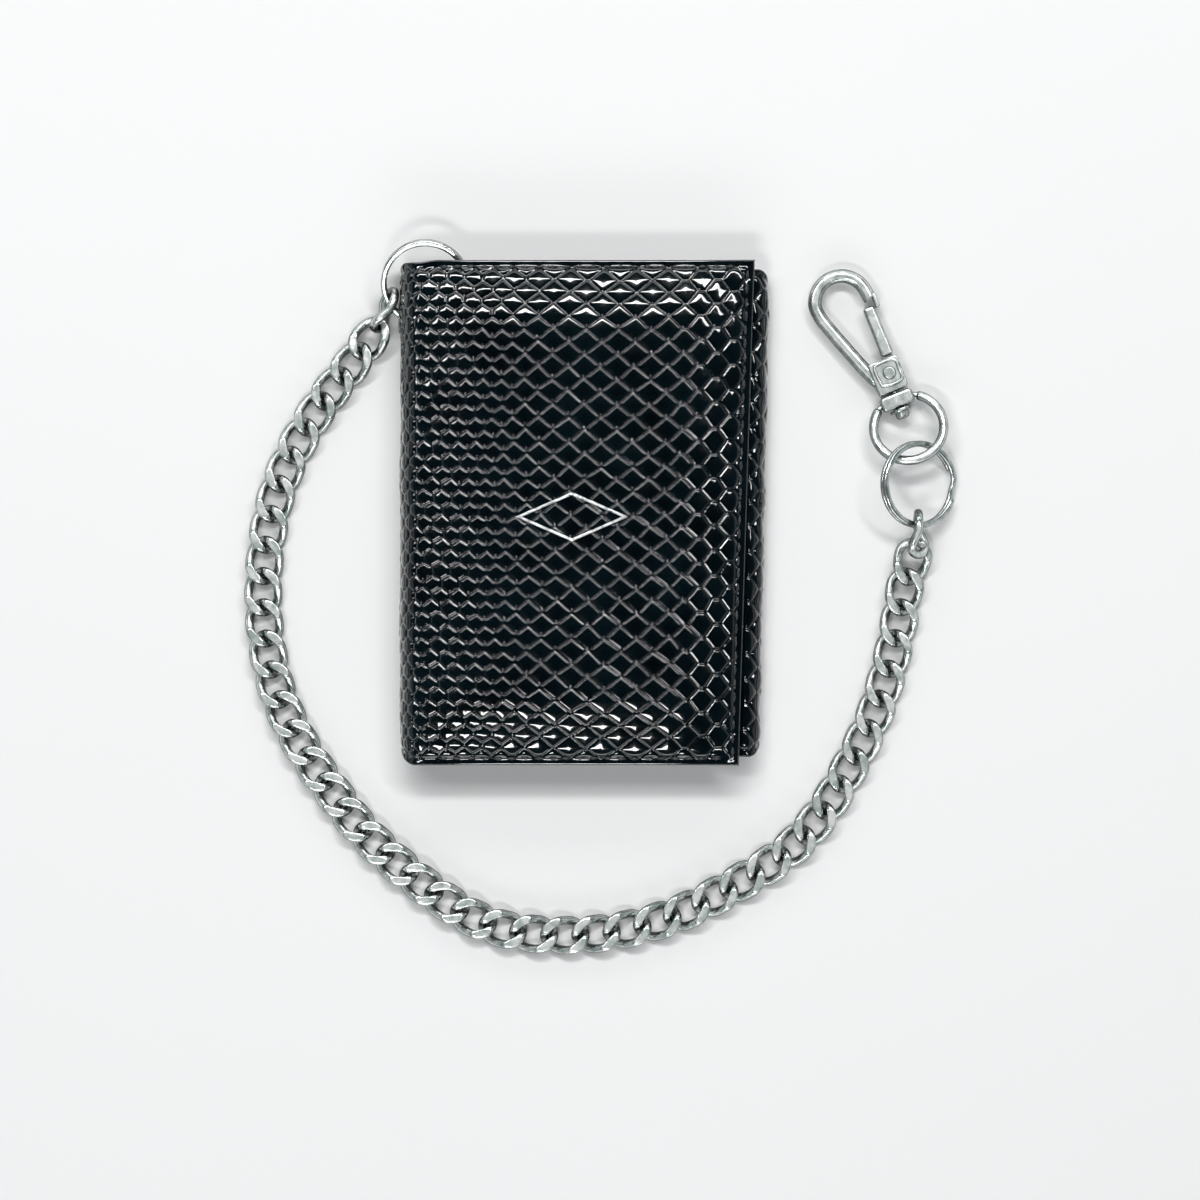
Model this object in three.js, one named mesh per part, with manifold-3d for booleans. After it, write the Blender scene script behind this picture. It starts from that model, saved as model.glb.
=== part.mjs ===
// Trifold wallet on a curb chain, closed and lying on its back. Millimetres, +Z up.
// The origin is the middle of the wallet's underside: +X runs to the right-hand fold, +Y to the
// top edge with the chain ring.

import * as THREE from 'three';
import { mergeVertices } from 'three/addons/utils/BufferGeometryUtils.js';
import Module from 'manifold-3d';

const manifold = await Module();
manifold.setup();

// ---------------------------------------------------------------- driving dimensions

const flapHeight = 114;
const bodyHeight = 110.4;
const plyGap = 0.14;
const ply = { leather: 1, board: 0.5, lining: 0.3, pocket: 0.4, film: 0.3, window: 0.7 };

const flap = { left: -36, rightTop: 38.2, rightBottom: 34.6, crown: 3.2, edgeSlope: 17, padInset: 2.5 };
const spine = { x: -37, bulge: 4.9, bottom: 0.1, yTop: 56.4, yBottom: -57, corner: 3.4 };
const fold = { x: 36.65, bulge: 3.9, bottom: 0.1, lean: 0.021, corner: 2.5 };
const innerWidth = 58.5;
const insideLeft = -22;

const wire = { ring: 1.3, coil: 1.1, link: 1.7, eye: 2.1 };
const walletRing = { centre: new THREE.Vector3(-36.2, 52, 6.55), radius: 9.45, tilt: 18.5 };
const hookRing = { centre: new THREE.Vector3(75.56, 6.49, 6), radius: 9.25, tilt: 29.7 };
const eyelet = { x: -42, y: 44.4, z: 4, hole: 2.5, barrel: 2.8, flange: 3.6, cut: 3.3 };
const link = { length: 9.3, width: 6.7 };
const chain = { width: 8.4, height: 3.6, z: 1.9, steps: 78 };
const swivel = { x: 70.8, y: 25.7, z: 2.65, lean: 22 };
const eye = { radius: 7.95, reach: 7.07, tilt: 18.5, endOffset: 4.75 };
const barrel = { half: 3.85, thick: 3.4, high: 4.2, bore: 1.35 };
const block = { left: -3.4, right: 3.7, bottom: 2.2, top: 9.8, half: 1.9 };
const pivot = { x: 0.6, y: 6.4, hole: 1, shaft: 0.8, head: 1.55 };

const degrees = Math.PI / 180;
const wallet = new THREE.Group();

// ---------------------------------------------------------------- helpers

const finishes = {
  leather: { color: 0x0b0d10, roughness: 0.18, metalness: 0 },
  lining: { color: 0x15161a, roughness: 0.8, metalness: 0 },
  board: { color: 0x8c8578, roughness: 0.95, metalness: 0 },
  foam: { color: 0xd9d4c8, roughness: 1, metalness: 0 },
  film: { color: 0xdfe8ea, roughness: 0.08, metalness: 0 },
  nickel: { color: 0xc9cfca, roughness: 0.16, metalness: 1 },
};

function add(name, geometry, finish, parent = wallet) {
  const mesh = new THREE.Mesh(geometry, new THREE.MeshStandardMaterial(finishes[finish]));
  mesh.name = name;
  parent.add(mesh);
  return mesh;
}

function toSolid(geometry) {
  const bare = geometry.clone();
  bare.deleteAttribute('normal');
  bare.deleteAttribute('uv');
  const merged = mergeVertices(bare, 1e-4);
  const triVerts = merged.index.array;
  const vertProperties = merged.attributes.position.array;
  return new manifold.Manifold(new manifold.Mesh({ numProp: 3, vertProperties, triVerts }));
}

function toGeometry(solid) {
  const mesh = solid.getMesh();
  const geometry = new THREE.BufferGeometry();
  geometry.setAttribute('position', new THREE.BufferAttribute(mesh.vertProperties, 3));
  geometry.setIndex(new THREE.BufferAttribute(mesh.triVerts, 1));
  geometry.computeVertexNormals();
  return geometry;
}

const subtract = (body, ...tools) =>
  toGeometry(tools.reduce((solid, tool) => solid.subtract(toSolid(tool)), toSolid(body)));
const intersect = (body, tool) => toGeometry(toSolid(body).intersect(toSolid(tool)));
const join = (...bodies) =>
  toGeometry(bodies.map(toSolid).reduce((all, solid) => all.add(solid)));

// A polygon with every corner rounded. Each corner is [x, y, radius].
function roundedOutline(corners) {
  const shape = new THREE.Shape();
  corners.forEach(([x, y, radius], i) => {
    const here = new THREE.Vector2(x, y);
    const before = corners[(i + corners.length - 1) % corners.length];
    const after = corners[(i + 1) % corners.length];
    const towards = ([px, py]) => new THREE.Vector2(px, py).sub(here).setLength(radius).add(here);
    const start = towards(before);
    const end = towards(after);
    if (i === 0) shape.moveTo(start.x, start.y);
    else shape.lineTo(start.x, start.y);
    shape.quadraticCurveTo(x, y, end.x, end.y);
  });
  shape.closePath();
  return shape;
}

function rectangle(left, right, bottom, top, radius = 1) {
  return roundedOutline([
    [left, bottom, radius], [right, bottom, radius], [right, top, radius], [left, top, radius],
  ]);
}

function plate(shape, low, high, curveSegments = 3) {
  const settings = { depth: high - low, bevelEnabled: false, curveSegments };
  return new THREE.ExtrudeGeometry(shape, settings).translate(0, 0, low);
}

// A shape drawn in X and Z, extruded along Y.
function alongY(shape, yBottom, yTop, curveSegments = 10) {
  const settings = { depth: yTop - yBottom, bevelEnabled: false, curveSegments };
  return new THREE.ExtrudeGeometry(shape, settings).rotateX(Math.PI / 2).translate(0, yTop, 0);
}

function cylinder(radius, low, high, sides = 20) {
  const height = high - low;
  return new THREE.CylinderGeometry(radius, radius, height, sides)
    .rotateX(Math.PI / 2)
    .translate(0, 0, low + height / 2);
}

// The eight-sided section of a wire, `thick` across the path's plane and `wide` in it.
function wireSection(thick, wide, sides = 8) {
  const shape = new THREE.Shape();
  for (let i = 0; i < sides; i += 1) {
    const angle = ((i + 0.5) / sides) * 2 * Math.PI;
    const x = (thick / 2) * Math.cos(angle);
    const y = (wide / 2) * Math.sin(angle);
    if (i === 0) shape.moveTo(x, y);
    else shape.lineTo(x, y);
  }
  shape.closePath();
  return shape;
}

function sweep(path, steps, section) {
  return new THREE.ExtrudeGeometry(section, { steps, bevelEnabled: false, extrudePath: path });
}

// ---------------------------------------------------------------- the plies, from the back up

let level = 0;
function nextPly(thickness) {
  const low = level;
  level += thickness + plyGap;
  return [low, low + thickness];
}

const halfBody = bodyHeight / 2;
const foldEdge = (y) => fold.x + fold.lean * y;

function backOutline(left, inset, radius) {
  const [low, high] = [-halfBody + inset, halfBody - inset];
  const right = (y) => foldEdge(y) - 0.2 - inset;
  return roundedOutline([
    [left, low, radius], [right(low), low, radius], [right(high), high, radius], [left, high, radius],
  ]);
}

function buildBack() {
  add('back_leather', plate(backOutline(spine.x + 0.2, 0, 0.4), ...nextPly(ply.leather)), 'leather');
  add('back_board', plate(backOutline(spine.x + 1, 1.5, 1.5), ...nextPly(ply.board)), 'board');
  add('note_pocket_lining', plate(backOutline(spine.x + 0.6, 1, 1), ...nextPly(ply.lining)), 'lining');
  add('note_divider', plate(backOutline(insideLeft, 1, 1.5), ...nextPly(ply.lining)), 'lining');
}

// The clear film lies behind the window panel and is wider than its opening.
function buildWindow() {
  const middle = 7;
  const [openWidth, openHeight, seam] = [50, 78, 3];
  const opening = (grow) => rectangle(
    middle - openWidth / 2 - grow, middle + openWidth / 2 + grow,
    -openHeight / 2 - grow, openHeight / 2 + grow, 3,
  );
  add('id_window_film', plate(opening(seam), ...nextPly(ply.film)), 'film');
  const panel = backOutline(insideLeft, 1, 2);
  panel.holes.push(opening(0));
  add('id_window_panel', plate(panel, ...nextPly(ply.window)), 'leather');
}

// One card pocket: a flat ply open along its upper edge, which dips in the middle for a thumb.
function pocketOutline(left, right, bottom, top) {
  const dip = 2.5;
  const shape = new THREE.Shape();
  shape.moveTo(left, bottom);
  shape.lineTo(right, bottom);
  shape.lineTo(right, top);
  shape.quadraticCurveTo((left + right) / 2, top - 2 * dip, left, top);
  shape.closePath();
  return shape;
}

// Three stepped pockets. The one nearest the cards' owner is the lowest.
function buildPockets(prefix, left, right, parent) {
  const [pocketBottom, lowest, step] = [-53.5, 4, 13];
  ['front', 'middle', 'rear'].forEach((place, i) => {
    const outline = pocketOutline(left, right, pocketBottom, lowest + i * step);
    add(`${prefix}_pocket_${place}`, plate(outline, ...nextPly(ply.pocket), 6), 'leather', parent);
  });
}

// ---------------------------------------------------------------- the inner panel and its fold

// Everything here is built with the fold line on x = 0, then leant to the wallet's skewed edge.
function buildInnerPanel() {
  const leaning = new THREE.Group();
  leaning.position.x = fold.x;
  leaning.rotation.z = -Math.atan(fold.lean);
  wallet.add(leaning);

  const left = -innerWidth;
  const panel = (inset, radius) => rectangle(
    left + inset, -0.3 - inset, -halfBody + 0.3 + inset, halfBody - 0.3 - inset, radius,
  );
  buildPockets('inner', left + 3, -3, leaning);
  add('inner_lining', plate(panel(0.6, 2), ...nextPly(ply.lining)), 'lining', leaning);
  add('inner_board', plate(panel(1.5, 2), ...nextPly(ply.board)), 'board', leaning);
  const [skinLow, skinHigh] = nextPly(ply.leather);
  add('inner_leather', plate(panel(0, 3), skinLow, skinHigh), 'leather', leaning);

  const half = (skinHigh - fold.bottom) / 2;
  const middle = fold.bottom + half;
  const section = new THREE.Shape();
  section.moveTo(0, fold.bottom);
  section.absellipse(0, middle, fold.bulge, half, -Math.PI / 2, Math.PI / 2, false, 0);
  section.absellipse(0, middle, fold.bulge - ply.leather, half - ply.leather, Math.PI / 2, -Math.PI / 2, true, 0);
  section.closePath();
  const trim = plate(rectangle(-8, fold.bulge + 0.1, -halfBody, halfBody, fold.corner), -1, 15);
  const skin = intersect(alongY(section, -halfBody, halfBody), trim);
  add('right_fold_leather', skin, 'leather', leaning);
}

// ---------------------------------------------------------------- the front flap

// 0 at an edge, 1 once `distance` from it has passed the sloping margin.
const rise = (distance) => Math.sin((Math.PI / 2) * Math.min(1, Math.max(0, distance / flap.edgeSlope)));

// The flap's crowned height over its flat edge. It stays high beside the spine.
function crownAt(x, y, right) {
  const spineShare = 0.45;
  const beside = spineShare + (1 - spineShare) * rise(x - flap.left);
  const ends = rise(flapHeight / 2 - Math.abs(y));
  return flap.crown * beside * ends * rise(right - x);
}

const flapRight = (y) => THREE.MathUtils.lerp(flap.rightBottom, flap.rightTop, y / flapHeight + 0.5);

// A crowned sheet between two heights over the flap's outline, on a grid that is finer at the edges.
function crownedSheet(inset, bottomAt, topAt) {
  const [columns, rows, corner] = [12, 14, 1.2];
  const spaced = (i, n) => 0.5 - 0.5 * Math.cos((Math.PI * i) / n);
  const positions = [];
  for (const heightAt of [bottomAt, topAt]) {
    for (let j = 0; j <= rows; j += 1) {
      const y = THREE.MathUtils.lerp(-1, 1, spaced(j, rows)) * (flapHeight / 2 - inset);
      const pull = Math.max(0, corner - (flapHeight / 2 - inset - Math.abs(y)));
      for (let i = 0; i <= columns; i += 1) {
        const right = flapRight(y) - inset - pull;
        const x = THREE.MathUtils.lerp(flap.left + inset + pull, right, spaced(i, columns));
        positions.push(x, y, heightAt(x, y, flapRight(y)));
      }
    }
  }
  const index = [];
  const layer = (columns + 1) * (rows + 1);
  const at = (i, j, k) => k * layer + j * (columns + 1) + i;
  const quad = (a, b, c, d) => index.push(a, b, c, a, c, d);
  for (let j = 0; j < rows; j += 1) {
    for (let i = 0; i < columns; i += 1) {
      quad(at(i, j, 1), at(i + 1, j, 1), at(i + 1, j + 1, 1), at(i, j + 1, 1));
      quad(at(i, j, 0), at(i, j + 1, 0), at(i + 1, j + 1, 0), at(i + 1, j, 0));
    }
  }
  for (let i = 0; i < columns; i += 1) {
    quad(at(i, 0, 0), at(i + 1, 0, 0), at(i + 1, 0, 1), at(i, 0, 1));
    quad(at(i + 1, rows, 0), at(i, rows, 0), at(i, rows, 1), at(i + 1, rows, 1));
  }
  for (let j = 0; j < rows; j += 1) {
    quad(at(0, j + 1, 0), at(0, j, 0), at(0, j, 1), at(0, j + 1, 1));
    quad(at(columns, j, 0), at(columns, j + 1, 0), at(columns, j + 1, 1), at(columns, j, 1));
  }
  const geometry = new THREE.BufferGeometry();
  geometry.setAttribute('position', new THREE.Float32BufferAttribute(positions, 3));
  geometry.setIndex(index);
  geometry.computeVertexNormals();
  return geometry;
}

function buildFlap() {
  buildPockets('flap', -20, 33);
  const outline = (inset, radius) => {
    const half = flapHeight / 2 - inset;
    return roundedOutline([
      [flap.left + inset, -half, radius], [flapRight(-half) - inset, -half, radius],
      [flapRight(half) - inset, half, radius], [flap.left + inset, half, radius],
    ]);
  };
  add('flap_lining', plate(outline(1.2, 2), ...nextPly(ply.lining)), 'lining');
  add('flap_board', plate(outline(2.2, 2), ...nextPly(ply.board)), 'board');

  const base = level;
  const [padEdge, padShare, skinLift] = [0.15, 0.85, 0.4];
  const padTop = (x, y, right) => base + padEdge + padShare * crownAt(x, y, right);
  add('flap_pad', crownedSheet(flap.padInset, () => base, padTop), 'foam');

  const skinUnder = (x, y, right) => base + skinLift + crownAt(x, y, right);
  const skinTop = (x, y, right) => skinUnder(x, y, right) + ply.leather;
  add('flap_leather', crownedSheet(0, skinUnder, skinTop), 'leather');
  return skinTop(flap.left, 0, flap.rightTop);
}

// ---------------------------------------------------------------- the left spine and its eyelet

// A bulging strip from the back's underside up to the flap's top.
function buildSpine(top) {
  const half = (top - spine.bottom) / 2;
  const middle = spine.bottom + half;
  const section = new THREE.Shape();
  section.moveTo(spine.x, top);
  section.absellipse(spine.x, middle, spine.bulge, half, Math.PI / 2, Math.PI * 1.5, false, 0);
  section.absellipse(
    spine.x, middle, spine.bulge - ply.leather, half - ply.leather, Math.PI * 1.5, Math.PI / 2, true, 0,
  );
  section.closePath();
  const outer = spine.x - spine.bulge - 0.1;
  const planform = roundedOutline([
    [outer, spine.yBottom, spine.corner], [spine.x + 6, spine.yBottom, 1],
    [spine.x + 6, spine.yTop, 1], [outer, spine.yTop, 1.4],
  ]);
  const strip = intersect(alongY(section, spine.yBottom, spine.yTop, 12), plate(planform, -1, 15));
  const hole = cylinder(eyelet.cut, -4, 4, 24).rotateY(Math.PI / 2).translate(-41, eyelet.y, eyelet.z);
  add('spine_leather', subtract(strip, hole), 'leather');
}

// A one-piece eyelet: flange outside, barrel through the leather, rolled lip inside.
function buildEyelet() {
  const [reach, sheet, lip] = [2.5, 0.35, 3.15];
  const profile = [
    [eyelet.hole, -reach], [lip, -reach], [lip, -reach + sheet], [eyelet.barrel, -reach + sheet],
    [eyelet.barrel, 0], [eyelet.flange, 0], [eyelet.flange, sheet / 2], [eyelet.flange - 0.4, sheet],
    [eyelet.hole + 0.1, sheet], [eyelet.hole, sheet / 2], [eyelet.hole, -reach],
  ].map(([radius, height]) => new THREE.Vector2(radius, height));
  const geometry = new THREE.LatheGeometry(profile, 28)
    .rotateZ(Math.PI / 2)
    .translate(eyelet.x, eyelet.y, eyelet.z);
  add('eyelet', geometry, 'nickel');
}

// ---------------------------------------------------------------- split rings and chain

// Two turns of wire side by side. The wire steps from one turn to the other in a short stretch,
// where both ends stop short.
class SplitRing extends THREE.Curve {
  constructor(radius, pitch) {
    super();
    this.radius = radius;
    this.pitch = pitch;
    this.step = 0.24;
  }

  getPoint(t, target = new THREE.Vector3()) {
    const clear = this.step + 0.12;
    const angle = THREE.MathUtils.lerp(clear, 4 * Math.PI - clear, t);
    const across = THREE.MathUtils.smoothstep(angle, 2 * Math.PI - this.step, 2 * Math.PI + this.step);
    const height = (across - 0.5) * this.pitch;
    return target.set(this.radius * Math.cos(angle), this.radius * Math.sin(angle), height);
  }
}

function splitRing({ radius }) {
  const coilPitch = wire.coil + 0.06;
  return sweep(new SplitRing(radius, coilPitch), 60, wireSection(wire.coil, wire.ring));
}

// One curb link's centre line, a stadium in X and Y that starts mid-side.
class LinkPath extends THREE.Curve {
  getPoint(t, target = new THREE.Vector3()) {
    const radius = link.width / 2;
    const straight = link.length - link.width;
    const total = 2 * straight + 2 * Math.PI * radius;
    const turn = Math.PI * radius;
    let along = (((t % 1) + 1) % 1) * total;
    if (along < straight / 2) return target.set(along, radius, 0);
    along -= straight / 2;
    if (along < turn) {
      const angle = Math.PI / 2 - along / radius;
      return target.set(straight / 2 + radius * Math.cos(angle), radius * Math.sin(angle), 0);
    }
    along -= turn;
    if (along < straight) return target.set(straight / 2 - along, -radius, 0);
    along -= straight;
    if (along < turn) {
      const angle = -Math.PI / 2 - along / radius;
      return target.set(-straight / 2 + radius * Math.cos(angle), radius * Math.sin(angle), 0);
    }
    return target.set(along - turn - straight / 2, radius, 0);
  }
}

// A closed wire loop, swept by hand because its ends have to meet.
function linkLoop() {
  const [steps, sides] = [28, 8];
  const path = new LinkPath();
  const positions = [];
  for (let i = 0; i < steps; i += 1) {
    const here = path.getPoint(i / steps);
    const ahead = path.getPoint(i / steps + 0.002);
    const behind = path.getPoint(i / steps - 0.002);
    const outward = new THREE.Vector3(behind.y - ahead.y, ahead.x - behind.x, 0).normalize();
    for (let k = 0; k < sides; k += 1) {
      const angle = ((k + 0.5) / sides) * 2 * Math.PI;
      const reach = (wire.link / 2) * Math.cos(angle);
      const lift = (wire.link / 2) * Math.sin(angle);
      positions.push(here.x + outward.x * reach, here.y + outward.y * reach, lift);
    }
  }
  const index = [];
  for (let i = 0; i < steps; i += 1) {
    for (let k = 0; k < sides; k += 1) {
      const a = i * sides + k;
      const b = i * sides + ((k + 1) % sides);
      const c = ((i + 1) % steps) * sides + ((k + 1) % sides);
      const d = ((i + 1) % steps) * sides + k;
      index.push(a, b, c, a, c, d);
    }
  }
  const geometry = new THREE.BufferGeometry();
  geometry.setAttribute('position', new THREE.Float32BufferAttribute(positions, 3));
  geometry.setIndex(index);
  geometry.computeVertexNormals();
  return geometry;
}

// Turns a mesh so that its X lies along `along`, then rolls it about that line from lying flat.
function lay(mesh, centre, along, roll) {
  const x = along.clone().normalize();
  const flat = new THREE.Vector3(0, 0, 1).addScaledVector(x, -x.z).normalize();
  const side = new THREE.Vector3().crossVectors(flat, x);
  const y = side.multiplyScalar(Math.cos(roll)).addScaledVector(flat, Math.sin(roll));
  const z = new THREE.Vector3().crossVectors(x, y);
  mesh.quaternion.setFromRotationMatrix(new THREE.Matrix4().makeBasis(x, y, z));
  mesh.position.copy(centre);
}

// The chain's route on the table, from the link after the wallet's to the link before the hook's.
const route = [
  [-48.9, 39.8], [-50.6, 37.2], [-54.9, 31.6], [-59.5, 25.7], [-63.4, 19.8], [-66.9, 13.2], [-69.7, 6.5],
  [-71.6, -0.7], [-72.8, -8.2], [-73.3, -15.5], [-73.3, -22.5], [-72.6, -29.6], [-71.3, -36.7],
  [-69.1, -43.6], [-66.1, -50.2], [-62.4, -56.5], [-58.1, -62.5], [-54, -68.3], [-49.3, -73.7],
  [-44.2, -78.6], [-38.9, -83], [-33.4, -87.2], [-27.6, -91.1], [-21.1, -94], [-14, -95.5],
  [-6.9, -96], [0, -95.9], [7, -95.1], [14.2, -93.5], [20.9, -91.3], [27.5, -88.2], [33.9, -84.7],
  [40.2, -81], [46, -77], [51, -72], [55.2, -66.4], [58.7, -60.4], [62, -54.2], [64.9, -48.1],
  [67.3, -41.7], [69.2, -34.7], [70.8, -27.9], [71.9, -21.1], [72.9, -15], [74.2, -11],
];

function buildChain() {
  const hookEnd = add('last_link', linkLoop(), 'nickel');
  lay(hookEnd, new THREE.Vector3(75.46, -4.7, 5.73), new THREE.Vector3(0.01, -1, -0.05), -88.5 * degrees);

  const path = new THREE.CatmullRomCurve3(route.map(([x, y]) => new THREE.Vector3(x, y, chain.z)));
  add('chain', sweep(path, chain.steps, wireSection(chain.height, chain.width)), 'nickel');

  const walletEnd = add('first_link', linkLoop(), 'nickel');
  lay(walletEnd, new THREE.Vector3(-45.5, 46.1, 4.25), new THREE.Vector3(-0.437, -0.9, -0.121), 69.2 * degrees);
}

function buildRings() {
  const atWallet = add('wallet_ring', splitRing(walletRing), 'nickel');
  atWallet.rotation.x = walletRing.tilt * degrees;
  atWallet.position.copy(walletRing.centre);

  const atHook = add('hook_ring', splitRing(hookRing), 'nickel');
  atHook.rotation.y = hookRing.tilt * degrees;
  atHook.position.copy(hookRing.centre);
}

// ---------------------------------------------------------------- swivel and snap hook

// Built with the hook's axis along +Y and the swivel's barrel on the origin, then leant over.
function buildHook() {
  const leaning = new THREE.Group();
  leaning.position.set(swivel.x, swivel.y, swivel.z);
  leaning.rotation.z = swivel.lean * degrees;
  wallet.add(leaning);
  buildSwivel(leaning);
  buildHookBody(leaning);
  buildGate(leaning);
}

// The round eye's open arc, from one end of the barrel to the other.
class EyeArc extends THREE.Curve {
  getPoint(t, target = new THREE.Vector3()) {
    const half = Math.PI - Math.asin(eye.endOffset / eye.radius);
    const angle = THREE.MathUtils.lerp(-half, half, t);
    return target.set(eye.radius * Math.sin(angle), -eye.reach - eye.radius * Math.cos(angle), 0);
  }
}

function buildSwivel(parent) {
  const arc = sweep(new EyeArc(), 34, wireSection(wire.eye, wire.eye));
  add('swivel_eye', arc, 'nickel', parent).rotation.x = -eye.tilt * degrees;

  const section = rectangle(-barrel.thick / 2, barrel.thick / 2, -barrel.high / 2, barrel.high / 2, 0.8);
  const bar = plate(section, -barrel.half, barrel.half).rotateY(Math.PI / 2).rotateX(Math.PI / 2);
  const bore = cylinder(barrel.bore, -3, 3).rotateX(Math.PI / 2);
  add('swivel_barrel', subtract(bar, bore), 'nickel', parent);

  const profile = [
    [0, -4.5], [1.2, -4.3], [1.6, -3.8], [1.6, -2.75], [2.45, -2.7], [2.45, -2], [1.1, -1.95],
    [1.1, 3.4], [0, 3.4],
  ].map(([radius, height]) => new THREE.Vector2(radius, height));
  add('swivel_post', new THREE.LatheGeometry(profile, 20), 'nickel', parent);
}

const pinHole = () => cylinder(pivot.hole, -3, 3).translate(pivot.x, pivot.y, 0);

// The teardrop arm, the lip on its nose and the block, slotted for the gate.
function buildHookBody(parent) {
  const loop = { x: -3.35, y: 25.3, radius: 6.05 };
  const points = [[-2.4, 5], [-4.3, 9.5], [-6.1, 14.5], [-7.8, 19.5], [-9, 23.3]];
  for (let angle = 170; angle >= 10; angle -= 20) {
    points.push([
      loop.x + loop.radius * Math.cos(angle * degrees),
      loop.y + loop.radius * Math.sin(angle * degrees),
    ]);
  }
  points.push([2.85, 24.3], [3, 23.8]);
  const path = new THREE.CatmullRomCurve3(points.map(([x, y]) => new THREE.Vector3(x, y, 0)));
  const arm = sweep(path, 40, wireSection(3.1, 2.9));
  const lip = plate(rectangle(3.45, 4.45, 21.2, 24.6, 0.4), -1.5, 1.5);

  const outline = roundedOutline([
    [block.left, block.bottom, 0.8], [block.right, block.bottom, 0.8],
    [block.right, block.top, 1], [block.left, block.top, 0.5],
  ]);
  const solid = join(arm, lip, plate(outline, -block.half, block.half));
  const slotHalf = 1.15;
  const slot = plate(rectangle(-1.8, 6, 4.1, 12, 0.4), -slotHalf, slotHalf);
  const postHole = cylinder(barrel.bore, -3, 3.7).rotateX(-Math.PI / 2);
  add('hook_body', subtract(solid, slot, pinHole(), postHole), 'nickel', parent);
}

function buildGate(parent) {
  const eyeRadius = 1.7;
  const tongue = new THREE.Shape();
  tongue.moveTo(pivot.x - eyeRadius, pivot.y);
  tongue.absarc(pivot.x, pivot.y, eyeRadius, Math.PI, 2 * Math.PI, false);
  tongue.lineTo(pivot.x + 2.3, 11);
  tongue.lineTo(pivot.x - 0.2, 11);
  tongue.closePath();
  const bar = roundedOutline([[0.45, 10.1, 0.4], [3.35, 10.1, 0.4], [3.1, 23, 0.5], [0.4, 23, 0.9]]);
  const [tongueHalf, barHalf] = [0.9, 1.4];
  const gate = join(plate(tongue, -tongueHalf, tongueHalf, 8), plate(bar, -barHalf, barHalf));
  const noseClear = plate(rectangle(-2, 6, 22.2, 26, 0.3), -3, 3);
  add('gate', subtract(gate, noseClear, pinHole()), 'nickel', parent);

  const [headLow, headHigh] = [block.half + 0.1, block.half + 0.5];
  const crown = pivot.head - 0.3;
  const rivet = [
    [0, -headHigh], [crown, -headHigh], [pivot.head, -headLow], [pivot.shaft, -headLow],
    [pivot.shaft, headLow], [pivot.head, headLow], [crown, headHigh], [0, headHigh],
  ].map(([radius, height]) => new THREE.Vector2(radius, height));
  const pin = new THREE.LatheGeometry(rivet, 20).rotateX(Math.PI / 2).translate(pivot.x, pivot.y, 0);
  add('gate_pin', pin, 'nickel', parent);
}

buildBack();
buildWindow();
buildInnerPanel();
const spineTop = buildFlap();
buildSpine(spineTop);
buildEyelet();
buildChain();
buildRings();
buildHook();

export default wallet;
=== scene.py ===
"""A closed chain wallet of embossed patent leather, its curb chain, rings and snap hook.

Lengths are millimetres in the CAD frame, unless a comment says otherwise, and become metres when a
mesh is made. The angles among the dimensions are degrees.
"""

import math

import bpy
import numpy as np
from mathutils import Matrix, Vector


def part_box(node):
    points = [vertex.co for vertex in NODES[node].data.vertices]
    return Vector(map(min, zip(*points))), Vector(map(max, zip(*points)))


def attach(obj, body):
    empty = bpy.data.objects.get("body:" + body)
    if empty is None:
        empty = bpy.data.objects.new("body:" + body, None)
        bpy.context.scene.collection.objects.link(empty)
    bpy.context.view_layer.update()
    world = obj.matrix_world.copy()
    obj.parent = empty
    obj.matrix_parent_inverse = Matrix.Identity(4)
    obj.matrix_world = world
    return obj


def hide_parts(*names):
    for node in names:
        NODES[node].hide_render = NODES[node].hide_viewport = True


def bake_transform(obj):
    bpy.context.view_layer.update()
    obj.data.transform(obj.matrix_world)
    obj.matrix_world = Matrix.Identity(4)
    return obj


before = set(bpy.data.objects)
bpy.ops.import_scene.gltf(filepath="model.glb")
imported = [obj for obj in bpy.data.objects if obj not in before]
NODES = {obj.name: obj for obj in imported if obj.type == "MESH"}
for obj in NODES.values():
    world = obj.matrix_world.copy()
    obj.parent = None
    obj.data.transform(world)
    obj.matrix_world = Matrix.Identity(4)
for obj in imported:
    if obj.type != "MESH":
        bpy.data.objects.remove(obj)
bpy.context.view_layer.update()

MM = 0.001
random = np.random.default_rng(11)

# -------------------- the wallet's own dimensions

FLAP_HALF = 57.0
FLAP_RIGHT = {"top": 38.2, "bottom": 34.6}
FLAP_LEFT = -36.0
FLAP_TOP = 11.88
CROWN = 3.2
CROWN_SLOPE = 17.0
CROWN_AT_SPINE = 0.45
LEATHER = 1.0

SPINE_X = -37.0
SPINE_BULGE = 4.9
SPINE_BOTTOM = 0.1
SPINE_TOP = FLAP_TOP + CROWN * CROWN_AT_SPINE
SPINE_TOP_END = 56.4
SPINE_CORNER = {"top": 1.4, "bottom": 3.4}

FOLD_X = 36.65
FOLD_BULGE = 3.9
FOLD_LEAN = 0.021
FOLD_CORNER = 2.5
BODY_HALF = 55.2
INNER_WIDTH = 58.5
INNER_TOP = 7.64

EYELET = {"y": 44.4, "z": 4.0, "cut": 3.15}
GRID = 0.24

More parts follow.
